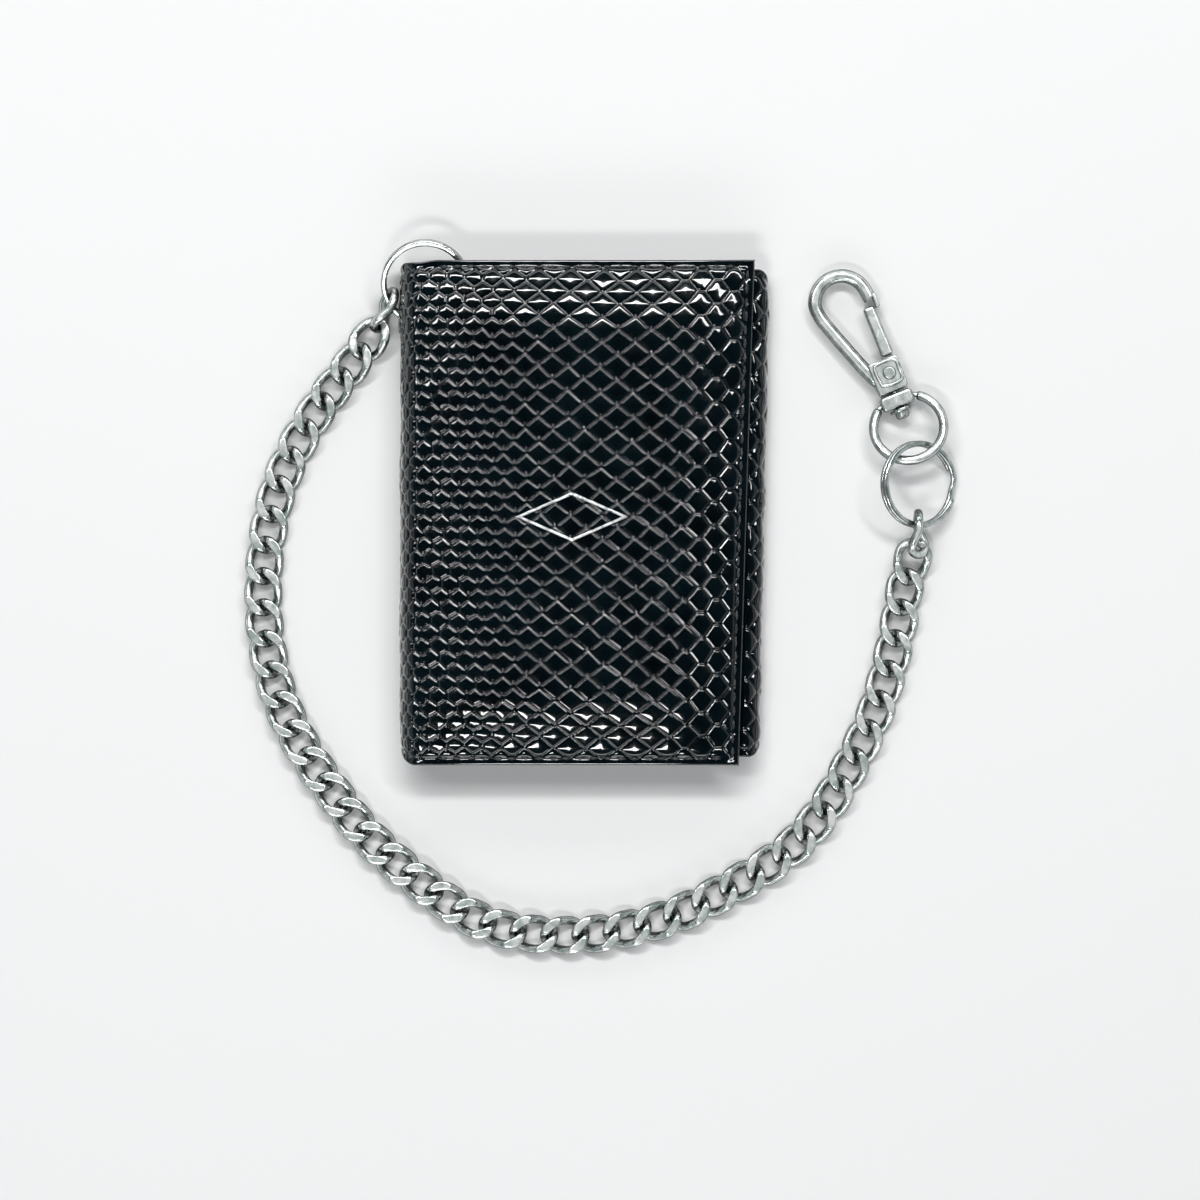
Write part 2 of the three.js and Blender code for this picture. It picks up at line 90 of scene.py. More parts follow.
LINK = {"length": 9.4, "width": 6.75, "wire": 2.0, "pitch": 7.12, "flat": 1.78, "twist": 47.0}
CHAIN_Z = 1.88
WALLET_LINK = {"centre": (-45.5, 46.1, 4.25), "along": (-0.437, -0.9, -0.121), "roll": 69.2}
HOOK_LINK = {"centre": (75.46, -4.7, 5.73), "along": (0.01, -1, -0.05), "roll": -88.5}
WALLET_RING = {"centre": (-36.2, 52, 6.55), "radius": 9.45, "tilt": ("X", 18.5)}
HOOK_RING = {"centre": (75.56, 6.49, 6), "radius": 9.25, "tilt": ("Y", 29.7)}
SWIVEL = {"x": 70.8, "y": 25.7, "z": 2.65, "lean": 22.0}

# The chain's route on the table, from the link after the wallet's to the link before the hook's.
ROUTE = [
    (-48.9, 39.8), (-50.6, 37.2), (-54.9, 31.6), (-59.5, 25.7), (-63.4, 19.8), (-66.9, 13.2),
    (-69.7, 6.5), (-71.6, -0.7), (-72.8, -8.2), (-73.3, -15.5), (-73.3, -22.5), (-72.6, -29.6),
    (-71.3, -36.7), (-69.1, -43.6), (-66.1, -50.2), (-62.4, -56.5), (-58.1, -62.5), (-54, -68.3),
    (-49.3, -73.7), (-44.2, -78.6), (-38.9, -83), (-33.4, -87.2), (-27.6, -91.1), (-21.1, -94),
    (-14, -95.5), (-6.9, -96), (0, -95.9), (7, -95.1), (14.2, -93.5), (20.9, -91.3),
    (27.5, -88.2), (33.9, -84.7), (40.2, -81), (46, -77), (51, -72), (55.2, -66.4),
    (58.7, -60.4), (62, -54.2), (64.9, -48.1), (67.3, -41.7), (69.2, -34.7), (70.8, -27.9),
    (71.9, -21.1), (72.9, -15), (74.2, -11),
]

# -------------------- small helpers


def radians(value):
    return value * math.pi / 180


def smoothstep(low, high, value):
    t = np.clip((value - low) / (high - low), 0, 1)
    return t * t * (3 - 2 * t)


def unit(vectors):
    vectors = np.asarray(vectors, float)
    return vectors / np.linalg.norm(vectors, axis=-1, keepdims=True)


def turn(axis, angle):
    """The 3x3 matrix that turns by `angle` degrees about one axis."""
    c, s = math.cos(radians(angle)), math.sin(radians(angle))
    rows = {
        "X": [[1, 0, 0], [0, c, -s], [0, s, c]],
        "Y": [[c, 0, s], [0, 1, 0], [-s, 0, c]],
        "Z": [[c, -s, 0], [s, c, 0], [0, 0, 1]],
    }
    return np.array(rows[axis])


def make_piece(name, vertices, faces, material):
    mesh = bpy.data.meshes.new(name)
    mesh.from_pydata((np.asarray(vertices) * MM).tolist(), [], faces)
    mesh.validate()
    mesh.shade_smooth()
    mesh.materials.append(material)
    piece = bpy.data.objects.new(name, mesh)
    bpy.context.scene.collection.objects.link(piece)
    return piece


def merge(parts):
    """Several (vertices, faces) pairs as one pair."""
    vertices, faces, base = [], [], 0
    for part_vertices, part_faces in parts:
        vertices.append(part_vertices)
        faces += [[base + i for i in face] for face in part_faces]
        base += len(part_vertices)
    return np.vstack(vertices), faces


def grid_faces(rows, sides, closed):
    """Quads between successive rings of `sides` points."""
    faces = []
    for i in range(rows if closed else rows - 1):
        here, ahead = i * sides, (i + 1) % rows * sides
        for k in range(sides):
            nxt = (k + 1) % sides
            faces.append([here + k, here + nxt, ahead + nxt, ahead + k])
    if not closed:
        faces.append(list(range(sides))[::-1])
        faces.append([(rows - 1) * sides + k for k in range(sides)])
    return faces


def oval(wide, thick, sides, squareness=2.0):
    """A wire's section as (out, up) pairs. Squareness above 2 flattens its four sides."""
    angles = (np.arange(sides) + 0.5) / sides * 2 * math.pi
    c, s = np.cos(angles), np.sin(angles)
    power = 2 / squareness
    out = np.sign(c) * np.abs(c) ** power * wide / 2
    up = np.sign(s) * np.abs(s) ** power * thick / 2
    return np.stack([out, up], 1)


def sweep(path, outward, section, closed=False, end_round=0.0):
    """A wire along `path`. `outward` is the direction of the section's first axis at each point."""
    path = np.asarray(path, float)
    if closed:
        ahead, behind = np.roll(path, -1, 0), np.roll(path, 1, 0)
    else:
        ahead = np.vstack([path[1:], path[-1:]])
        behind = np.vstack([path[:1], path[:-1]])
    along = unit(ahead - behind)
    outward = np.asarray(outward, float)
    outward = unit(outward - along * np.sum(outward * along, 1, keepdims=True))
    up = np.cross(along, outward)
    size = np.ones(len(path))
    if end_round:
        size[[0, -1]] = 1 - end_round
        size[[1, -2]] = 1 - end_round * 0.3
    rings = (
        path[:, None]
        + outward[:, None] * (section[:, 0, None] * size[:, None, None])
        + up[:, None] * (section[:, 1, None] * size[:, None, None])
    )
    faces = grid_faces(len(path), len(section), closed)
    return rings.reshape(-1, 3), [face[::-1] for face in faces]


# -------------------- materials


def fill_ramp(ramp, stops):
    """Sets a colour ramp's stops. Each is (position, grey) or (position, (r, g, b))."""
    elements = ramp.color_ramp.elements
    elements.remove(elements[1])
    for i, (position, colour) in enumerate(stops):
        rgb = colour if isinstance(colour, tuple) else (colour,) * 3
        stop = elements[0] if i == 0 else elements.new(position)
        stop.position = position
        stop.color = (*rgb, 1)


class Paint:
    """Builds one material out of procedural nodes."""

    def __init__(self, name):
        self.material = bpy.data.materials.new(name)
        self.material.use_nodes = True
        self.tree = self.material.node_tree
        self.shader = self.tree.nodes["Principled BSDF"]
        self.place = self.node("ShaderNodeTexCoord").outputs["Object"]

    def node(self, kind, **settings):
        made = self.tree.nodes.new(kind)
        for key, value in settings.items():
            setattr(made, key, value)
        return made

    def join(self, source, target):
        self.tree.links.new(source, target)

    def set(self, **values):
        """Sets the shader's own sockets. Underscores in a name stand for spaces."""
        for key, value in values.items():
            self.shader.inputs[key.replace("_", " ")].default_value = value

    def noise(self, scale, detail=3.0, rough=0.5, stretch=(1, 1, 1)):
        spread = self.node("ShaderNodeMapping")
        spread.inputs["Scale"].default_value = stretch
        self.join(self.place, spread.inputs["Vector"])
        made = self.node("ShaderNodeTexNoise")
        made.inputs["Scale"].default_value = scale
        made.inputs["Detail"].default_value = detail
        made.inputs["Roughness"].default_value = rough
        self.join(spread.outputs["Vector"], made.inputs["Vector"])
        return made.outputs["Fac"]

    def cells(self, scale, feature="DISTANCE_TO_EDGE"):
        made = self.node("ShaderNodeTexVoronoi", feature=feature)
        made.inputs["Scale"].default_value = scale
        self.join(self.place, made.inputs["Vector"])
        return made.outputs["Distance"]

    def wave(self, scale, direction, distortion=0.0):
        made = self.node("ShaderNodeTexWave", bands_direction=direction)
        made.inputs["Scale"].default_value = scale
        made.inputs["Distortion"].default_value = distortion
        self.join(self.place, made.inputs["Vector"])
        return made.outputs["Fac"]

    def math(self, operation, a, b):
        made = self.node("ShaderNodeMath", operation=operation)
        for socket, value in zip(made.inputs, (a, b)):
            if isinstance(value, (int, float)):
                socket.default_value = value
            else:
                self.join(value, socket)
        return made.outputs[0]

    def ramp(self, source, *stops):
        made = self.node("ShaderNodeValToRGB")
        fill_ramp(made, stops)
        self.join(source, made.inputs["Fac"])
        return made.outputs["Color"]

    def multiply(self, below, above):
        """Two colours multiplied."""
        made = self.node("ShaderNodeMix", data_type="RGBA", blend_type="MULTIPLY")
        sockets = {socket.identifier: socket for socket in made.inputs}
        sockets["Factor_Float"].default_value = 1
        self.join(below, sockets["A_Color"])
        self.join(above, sockets["B_Color"])
        return made.outputs[2]

    def occlusion(self, reach):
        """1 in the open and 0 in a crevice narrower than `reach` millimetres."""
        made = self.node("ShaderNodeAmbientOcclusion", samples=8)
        made.inputs["Distance"].default_value = reach * MM
        return made.outputs["AO"]

    def facing(self):
        """1 where the surface lies flat and 0 where it stands upright, in the piece's own frame."""
        split = self.node("ShaderNodeSeparateXYZ")
        self.join(self.node("ShaderNodeTexCoord").outputs["Normal"], split.inputs[0])
        return self.math("ABSOLUTE", split.outputs["Z"], 0)

    def colour(self, source):
        self.join(source, self.shader.inputs["Base Color"])

    def metallic(self, source):
        self.join(source, self.shader.inputs["Metallic"])

    def roughness(self, source):
        self.join(source, self.shader.inputs["Roughness"])

    def bump(self, *layers):
        """Stacks bump layers of (height, depth in millimetres)."""
        normal = None
        for height, depth in layers:
            made = self.node("ShaderNodeBump")
            made.inputs["Strength"].default_value = 1
            made.inputs["Distance"].default_value = depth * MM
            self.join(height, made.inputs["Height"])
            if normal is not None:
                self.join(normal, made.inputs["Normal"])
            normal = made.outputs["Normal"]
        self.join(normal, self.shader.inputs["Normal"])


def patent_leather():
    paint = Paint("patent_leather")
    paint.set(IOR=1.5, Specular_IOR_Level=0.2, Coat_Weight=1.0, Coat_Roughness=0.02, Coat_IOR=1.6)
    tint = paint.noise(90, 4)
    paint.colour(paint.ramp(tint, (0.3, (0.0005, 0.0016, 0.0026)), (0.75, (0.002, 0.0066, 0.0095))))
    paint.roughness(paint.ramp(paint.noise(260, 3), (0.3, 0.09), (0.8, 0.24)))
    paint.bump((paint.noise(1500, 2), 0.004), (paint.noise(420, 3), 0.012))
    return paint.material


def inner_leather():
    paint = Paint("inner_leather")
    paint.set(IOR=1.48)
    tone = paint.noise(120, 4)
    paint.colour(paint.ramp(tone, (0.3, (0.007, 0.0075, 0.008)), (0.8, (0.02, 0.021, 0.022))))
    paint.roughness(paint.ramp(paint.noise(300, 3), (0.3, 0.42), (0.8, 0.6)))
    paint.bump((paint.cells(900), 0.06), (paint.noise(2200, 2), 0.02))
    return paint.material


def woven(name, dark, light, threads):
    paint = Paint(name)
    paint.set(Sheen_Weight=0.25, Sheen_Roughness=0.5)
    warp, weft = paint.wave(threads, "X"), paint.wave(threads, "Y")
    cloth = paint.math("MULTIPLY", warp, weft)
    paint.colour(paint.ramp(paint.math("ADD", cloth, paint.noise(150, 3)), (0.2, dark), (1.4, light)))
    paint.roughness(paint.ramp(paint.noise(400, 2), (0.3, 0.75), (0.8, 0.92)))
    paint.bump((cloth, 0.06), (paint.noise(2600, 2), 0.03))
    return paint.material


def board():
    paint = Paint("board")
    fibres = paint.noise(700, 5, 0.7)
    paint.colour(paint.ramp(fibres, (0.3, (0.16, 0.14, 0.115)), (0.7, (0.30, 0.27, 0.225))))
    paint.roughness(paint.ramp(paint.noise(500, 2), (0.3, 0.85), (0.8, 0.98)))
    paint.bump((paint.noise(1800, 4, 0.7), 0.06), (paint.noise(300, 2, 0.5, (1, 0.1, 1)), 0.03))
    return paint.material


def foam():
    paint = Paint("foam")
    paint.colour(paint.ramp(paint.cells(1700), (0.02, (0.22, 0.21, 0.19)), (0.2, (0.52, 0.5, 0.45))))
    paint.roughness(paint.ramp(paint.noise(500, 2), (0.3, 0.9), (0.8, 1.0)))
    paint.bump((paint.cells(1700), 0.12), (paint.noise(900, 3), 0.05))
    return paint.material


def clear_film():
    paint = Paint("clear_film")
    paint.set(IOR=1.49, Transmission_Weight=0.92, Coat_Weight=0.3, Coat_Roughness=0.05)
    paint.colour(paint.ramp(paint.noise(60, 2), (0.3, (0.80, 0.85, 0.86)), (0.8, (0.92, 0.95, 0.95))))
    paint.roughness(paint.ramp(paint.noise(200, 4), (0.3, 0.04), (0.85, 0.16)))
    paint.bump((paint.noise(70, 2), 0.05), (paint.noise(2000, 1), 0.002))
    return paint.material


def nickel(name, shine, dents, crevices, worn):
    """Plated metal, its colour darkened by painted shade down its sides and in its crevices, and worn
    matt on its flats.
    `dents` is the depth in millimetres of its small unevenness, `worn` how metallic the flats are."""
    paint = Paint(name)
    patches = paint.noise(420, 5, 0.6)
    plating = paint.ramp(patches, (0.36, (0.5, 0.58, 0.55)), (0.6, (0.96, 0.99, 0.97)))
    facing = paint.facing()
    # Painted shade: ambient occlusion darkens the colour in crevices and between parts.
    painted_crevice_shade = paint.ramp(paint.occlusion(crevices), (0.3, 0.04), (0.8, 1.0))
    # Painted shade: the colour goes dark where the surface stands upright in the piece's own frame, to
    # draw dark outlines down the sides.
    painted_side_shade = paint.ramp(facing, (0.42, 0.1), (0.8, 1.0))
    paint.colour(paint.multiply(paint.multiply(plating, painted_crevice_shade), painted_side_shade))
    flats = paint.math("ADD", facing, paint.math("MULTIPLY", patches, 0.06))
    paint.metallic(paint.ramp(flats, (0.93, 0.95), (1.02, worn)))
    scratches = paint.noise(1500, 3, 0.6, (1, 0.15, 1))
    wear = paint.math("MULTIPLY", patches, scratches)
    paint.roughness(paint.ramp(wear, (0.1, shine), (0.5, shine + 0.14)))
    paint.bump((paint.noise(620, 3, 0.55), dents), (scratches, 0.008))
    return paint.material


def thread():
    paint = Paint("thread")
    paint.set(Sheen_Weight=0.3, Sheen_Roughness=0.3, Coat_Weight=0.6, Coat_Roughness=0.18)
    strands = paint.wave(1500, "DIAGONAL", 1.5)
    paint.colour(paint.ramp(strands, (0.2, (0.002, 0.0025, 0.003)), (0.9, (0.02, 0.023, 0.026))))
    paint.roughness(paint.ramp(strands, (0.2, 0.5), (0.9, 0.28)))
    paint.bump((strands, 0.05), (paint.noise(3000, 2), 0.03))
    return paint.material


def cut_edge():
    paint = Paint("painted_edge")
    paint.set(Coat_Weight=0.4, Coat_Roughness=0.2)
    tone = paint.noise(500, 4)
    paint.colour(paint.ramp(tone, (0.3, (0.012, 0.014, 0.016)), (0.8, (0.035, 0.04, 0.042))))
    paint.roughness(paint.ramp(paint.noise(600, 3), (0.3, 0.3), (0.8, 0.5)))
    paint.bump((paint.noise(1100, 4, 0.6), 0.05), (paint.noise(400, 2, 0.5, (1, 1, 6)), 0.03))
    return paint.material


def foil():
    paint = Paint("silver_foil")
    paint.set(Metallic=1.0)
    paint.colour(paint.ramp(paint.noise(500, 4), (0.3, (0.72, 0.73, 0.74)), (0.7, (0.95, 0.95, 0.95))))
    paint.roughness(paint.ramp(paint.noise(900, 3), (0.3, 0.22), (0.8, 0.42)))
    paint.bump((paint.noise(1600, 3), 0.03), (paint.noise(400, 2), 0.03))
    return paint.material


def tabletop():
    """Matt and pale, with a glow far from the object that hides where the lamps fall off."""
    paint = Paint("tabletop")
    paint.set(Specular_IOR_Level=0.2)
    paint.colour(paint.ramp(paint.noise(6, 3), (0.2, 0.862), (0.8, 0.874)))
    paint.roughness(paint.ramp(paint.noise(40, 2), (0.3, 0.7), (0.8, 0.85)))
    paint.bump((paint.noise(300, 3), 0.01),)
    away = paint.node("ShaderNodeVectorMath", operation="LENGTH")
    paint.join(paint.place, away.inputs[0])
    glow = paint.ramp(away.outputs["Value"], (0.3, 0.0), (0.6, 0.12), (0.95, 0.5))
    paint.set(Emission_Color=(1, 1, 1, 1))
    paint.join(glow, paint.shader.inputs["Emission Strength"])
    return paint.material


# -------------------- camera, light and floor


# How bright the surroundings are at each height: 0 is the horizon and 1 is overhead.
SKY = [
    (0.0, (0.93, 0.94, 0.94)),
    (0.1, (0.88, 0.89, 0.89)),
    (0.14, (0.07, 0.08, 0.08)),
    (0.25, (0.06, 0.07, 0.075)),
    (0.33, (0.5, 0.53, 0.54)),
    (0.48, (0.34, 0.37, 0.38)),
    (0.58, (0.05, 0.07, 0.078)),
    (0.75, (0.016, 0.023, 0.028)),
    (0.97, (0.006, 0.009, 0.011)),
]
# Each soft box's place, width and depth in metres, and its power in watts.
BOXES = {
    "north_box": ((0.0, 0.68, 1.1), 0.62, 0.13, 6.3),
    "north_west_box": ((-0.5, 0.5, 1.1), 0.5, 0.11, 3.1),
    "north_east_box": ((0.5, 0.5, 1.1), 0.5, 0.11, 3.1),
    "north_low_box": ((0.0, 1.5, 0.8), 1.6, 0.5, 4.6),
    "south_box": ((-0.16, -0.62, 1.1), 0.42, 0.13, 3.9),
    "south_low_box": ((0.0, -1.5, 0.8), 1.6, 0.4, 4.7),
}


def add_camera():
    """Looks straight down. Its place is in metres."""
    camera = bpy.data.objects.new("camera", bpy.data.cameras.new("camera"))
    camera.data.lens = 131.6
    camera.data.sensor_width = 36
    camera.location = (0.0033, -0.0197, 1.0)
    bpy.context.scene.collection.objects.link(camera)
    bpy.context.scene.camera = camera


def add_light(name, place, width, depth, power):
    """A soft box at `place`, in metres, that faces the wallet."""
    data = bpy.data.lights.new(name, "AREA")
    data.shape = "RECTANGLE"
    data.size, data.size_y = width, depth
    data.energy = power
    lamp = bpy.data.objects.new(name, data)
    lamp.location = place
    lamp.rotation_euler = (-Vector(place)).to_track_quat("-Z", "Y").to_euler()
    bpy.context.scene.collection.objects.link(lamp)


def add_studio():
    """Dark overhead, so that flat patent leather stays black, with a pale band and a pale horizon."""
    world = bpy.data.worlds.new("studio")
    bpy.context.scene.world = world
    world.use_nodes = True
    tree = world.node_tree
    direction = tree.nodes.new("ShaderNodeTexCoord").outputs["Generated"]
    split = tree.nodes.new("ShaderNodeSeparateXYZ")
    ramp = tree.nodes.new("ShaderNodeValToRGB")
    fill_ramp(ramp, SKY)
    tree.links.new(direction, split.inputs[0])
    tree.links.new(split.outputs["Z"], ramp.inputs["Fac"])
    tree.links.new(ramp.outputs["Color"], tree.nodes["Background"].inputs["Color"])
    for name, (place, width, depth, power) in BOXES.items():
        add_light(name, place, width, depth, power)


def add_floor():
    half, z = 950.0, -0.03
    corners = [(-half, -half, z), (half, -half, z), (half, half, z), (-half, half, z)]
    make_piece("tabletop", corners, [[0, 1, 2, 3]], tabletop())


# -------------------- the chain


def link_shape(twist_start, twist_end, half_thick, straight_share=0.0, steps=64, sides=14):
    """One curb link about the origin, its long axis along X, its two ends twisted, its faces ground.
    `straight_share` is how much of its length stays as it starts."""
    length, width = LINK["length"], LINK["width"]
    straight, radius = length - width, width / 2
    turn_length = math.pi * radius
    points, outwards = [], []
    for i in range(steps):
        half, along = divmod(2 * i / steps, 1)
        along *= turn_length + straight
        if along < turn_length:
            angle = math.pi / 2 - along / radius
            out = np.array([math.cos(angle), math.sin(angle)])
            place = out * radius + [straight / 2, 0]
        else:
            out = np.array([0.0, -1.0])
            place = np.array([straight / 2 + turn_length - along, -radius])
        if half:
            place, out = -place, -out
        share = np.clip((0.5 + place[0] / length - straight_share) / (1 - straight_share), 0, 1)
        angle = radians(twist_start + (twist_end - twist_start) * float(share))
        up_slope = np.array([math.cos(angle), math.sin(angle)])
        points.append((place[0], *(place[1] * up_slope)))
        outwards.append((out[0], *(out[1] * up_slope)))
    wire = oval(LINK["wire"], LINK["wire"], sides, 2.3)
    vertices, faces = sweep(points, outwards, wire, closed=True)
    vertices[:, 2] = np.clip(vertices[:, 2], -half_thick, half_thick)
    return vertices, faces


def link_frame(along, roll):
    """The link's own axes as columns, `roll` degrees from lying flat."""
    x = unit(along)
    flat = unit(np.array([0, 0, 1.0]) - x * x[2])
    side = np.cross(flat, x)
    y = side * math.cos(radians(roll)) + flat * math.sin(radians(roll))
    return np.stack([x, y, np.cross(x, y)], 1)


CLEAR_OF_TABLE = 0.05


def placed(shape, centre, along, roll):
    """A link in its place, lifted where it would touch the table."""
    vertices, faces = shape
    vertices = vertices @ link_frame(along, roll).T + np.array(centre, float)
    vertices[:, 2] += max(0, CLEAR_OF_TABLE - vertices[:, 2].min())
    return vertices, faces


def metal_piece(name, shape, node, body, material):
    """A piece of metal that stands for one CAD node and moves with one body."""
    piece = make_piece(name, *shape, material)
    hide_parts(node)
    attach(piece, body)
    return piece


def route_points(spacing):
    """Points along the route, `spacing` apart as nearly as a whole number of them allows."""
    knots = np.array(ROUTE, float)
    steps = np.linalg.norm(np.diff(knots, axis=0), axis=1)
    run = np.concatenate([[0], np.cumsum(steps)])
    count = round(run[-1] / spacing)
    at = np.linspace(0, run[-1], count + 1)
    return np.stack([np.interp(at, run, knots[:, 0]), np.interp(at, run, knots[:, 1])], 1)


# How the first and last links on the table roll and rise to meet the two that stand up.
WALLET_END = [(12, 2.7), (7, 2.3), (3, 2.0)]
HOOK_END = [(10, 2.7), (6, 2.3), (3, 2.0)]


def build_chain(material):
    centres = route_points(LINK["pitch"])
    count = len(centres)
    roll = np.zeros(count)
    height = np.full(count, CHAIN_Z)
    for i, (angle, z) in enumerate(WALLET_END):
        roll[i], height[i] = angle, z
    for i, (angle, z) in enumerate(HOOK_END):
        roll[-1 - i], height[-1 - i] = angle, z
    centres = np.column_stack([centres, height])
    ahead = np.vstack([centres[1:], centres[-1:]])
    behind = np.vstack([centres[:1], centres[:-1]])
    directions = unit(ahead - behind)
    shape = link_shape(LINK["twist"], -LINK["twist"], LINK["flat"])
    parts = []
    for i in range(count):
        wobble = random.uniform(-2.5, 2.5)
        parts.append(placed(shape, centres[i], directions[i], roll[i] + wobble))
    links = metal_piece("chain_links", merge(parts), "chain", "wallet_base", material)

    upright = link_shape(0, LINK["twist"], LINK["width"], straight_share=0.4)
    ends = []
    for name, node, spec in (
        ("link_at_wallet", "first_link", WALLET_LINK),
        ("link_at_hook", "last_link", HOOK_LINK),
    ):
        shape = placed(upright, spec["centre"], spec["along"], spec["roll"])
        ends.append(metal_piece(name, shape, node, "wallet_base", material))
    return links, ends, centres


def split_ring(name, spec, node, body, material):
    """Two turns of flattened wire, with the step from one to the other."""
    coil, wide, step = 1.1, 1.3, 0.24
    clear = step + 0.12
    angles = np.linspace(clear, 4 * math.pi - clear, 340)
    across = smoothstep(2 * math.pi - step, 2 * math.pi + step, angles) - 0.5
    outward = np.stack([np.cos(angles), np.sin(angles), np.zeros_like(angles)], 1)
    path = outward * spec["radius"]
    path[:, 2] = across * (coil + 0.06)
    vertices, faces = sweep(path, outward, oval(wide, coil, 16, 3.0), end_round=0.25)
    vertices = vertices @ turn(*spec["tilt"]).T + np.array(spec["centre"], float)
    return metal_piece(name, (vertices, faces), node, body, material)


# -------------------- snap hook and swivel


def hook_to_world(points):
    turned = np.asarray(points, float) @ turn("Z", SWIVEL["lean"]).T
    return turned + np.array([SWIVEL["x"], SWIVEL["y"], SWIVEL["z"]])


def hook_piece(name, parts, node, body, material):
    vertices, faces = merge(parts)
    return metal_piece(name, (hook_to_world(vertices), faces), node, body, material)


def facing_y(count):
    """The Y direction, once for each point of a path."""
    return np.tile([0.0, 1.0, 0.0], (count, 1))


def swivel_eye(material):
    """The round loop, with a lug at each end that turns in the barrel."""
    radius, reach, tilt, offset, thick = 7.95, 7.07, 18.5, 4.75, 2.1
    lug, lug_steps, lug_inner = 1.3, 9, 3.4
    half = math.pi - math.asin(offset / radius)
    angles = np.linspace(-half, half, 110)
    outward = np.stack([np.sin(angles), -np.cos(angles), np.zeros_like(angles)], 1)
    path = outward * radius + np.array([0, -reach, 0])
    parts = [sweep(path, outward, oval(thick, thick, 18, 2.2), end_round=0.12)]
    for side in (-1, 1):
        along = np.linspace(side * (offset + 0.5), side * lug_inner, lug_steps)
        line = np.stack([along, np.linspace(-0.75, 0, lug_steps), np.zeros(lug_steps)], 1)
        parts.append(sweep(line, facing_y(lug_steps), oval(lug, lug, 14), end_round=0.3))
    tilted = [(vertices @ turn("X", -tilt).T, faces) for vertices, faces in parts]
    return hook_piece("swivel_loop", tilted, "swivel_eye", "swivel_eye", material)


def smooth_line(points, steps):
    """A Catmull-Rom curve through the points."""
    points = np.asarray(points, float)
    padded = np.vstack([2 * points[0] - points[1], points, 2 * points[-1] - points[-2]])
    t = np.linspace(0, 1, steps, endpoint=False)[:, None]
    pieces = []
    for a, b, c, d in zip(padded, padded[1:], padded[2:], padded[3:]):
        bend = (2 * a - 5 * b + 4 * c - d) * t**2 + (3 * b - a - 3 * c + d) * t**3
        pieces.append(b + 0.5 * ((c - a) * t + bend))
    return np.vstack([*pieces, points[-1:]])


def corner_arc(corner, before, after, radius):
    """The centre of a rounded corner and the outward directions along its arc."""
    to_before, to_after = unit(before - corner), unit(after - corner)
    half = math.acos(np.clip(to_before @ to_after, -1, 1)) / 2
    centre = corner + unit(to_before + to_after) * radius / math.sin(half)
    start = math.atan2(-to_before[0], to_before[1]) + math.pi
    angles = start + np.linspace(0, math.pi - 2 * half, 7)
    return centre, np.stack([np.cos(angles), np.sin(angles)], 1)


def rounded_plate(corners, radius, low, high, soft):
    """A plate from `low` to `high` with a convex outline, rounded corners and soft rims."""
    corners = np.asarray(corners, float)
    neighbours = zip(corners, np.roll(corners, 1, 0), np.roll(corners, -1, 0))
    arcs = [corner_arc(corner, before, after, radius) for corner, before, after in neighbours]
    turned = np.linspace(0, math.pi / 2, 6)
    insets = np.append(soft * (1 - np.cos(turned)), soft + 0.12)
    heights = high - soft * (1 - np.sin(np.append(turned, math.pi / 2)))
    upper = list(zip(insets, heights))
    lower = [(inset, low + high - z) for inset, z in upper[::-1]]
    rings = []
    for inset, z in lower + upper:
        ring = np.vstack([centre + out * max(radius - inset, 0.02) for centre, out in arcs])
        rings.append(np.column_stack([ring, np.full(len(ring), z)]))
    return np.vstack(rings), grid_faces(len(rings), len(rings[0]), False)


def box_corners(left, right, bottom, top):
    return [(left, bottom), (right, bottom), (right, top), (left, top)]


BLOCK = {"left": -3.4, "right": 3.7, "bottom": 2.2, "top": 9.8, "half": 1.9, "slot_half": 1.15}
PIVOT = np.array([0.4, 6.4])
NOSE_LOOP = {"centre": np.array([-3.35, 25.3]), "radius": 6.05}


def hook_arm():
    """The teardrop arm, from the block round the loop to the nose."""
    angles = np.radians(np.arange(170, 0, -20))
    directions = np.stack([np.cos(angles), np.sin(angles)], 1)
    loop = NOSE_LOOP["centre"] + NOSE_LOOP["radius"] * directions
    stem = [(-2.4, 5), (-4.3, 9.5), (-6.1, 14.5), (-7.8, 19.5), (-9, 23.3)]
    line = smooth_line([*stem, *loop, (2.85, 24.3), (3, 23.8)], 8)
    path = np.column_stack([line, np.zeros(len(line))])
    outward = np.cross(np.gradient(path, axis=0), [0.0, 0.0, 1.0])
    return sweep(path, outward, oval(3.1, 2.9, 22, 2.25), end_round=0.2)


def rivet_frame():
    """The raised frame round the rivet, on the block's face."""
    left, right, bottom, top = -2.0, 2.8, 4.2, 8.8
    middle_x, middle_y = PIVOT
    outline = [
        (left, bottom), (middle_x, 3.7), (right, bottom), (3, middle_y),
        (right, top), (middle_x, 9.2), (left, top), (-2.3, middle_y), (left, bottom),
    ]
    line = smooth_line(outline, 8)[:-1]
    ring = np.column_stack([line, np.full(len(line), BLOCK["half"])])
    return sweep(ring, ring - [middle_x, middle_y, BLOCK["half"]], oval(0.75, 0.7, 12), closed=True)


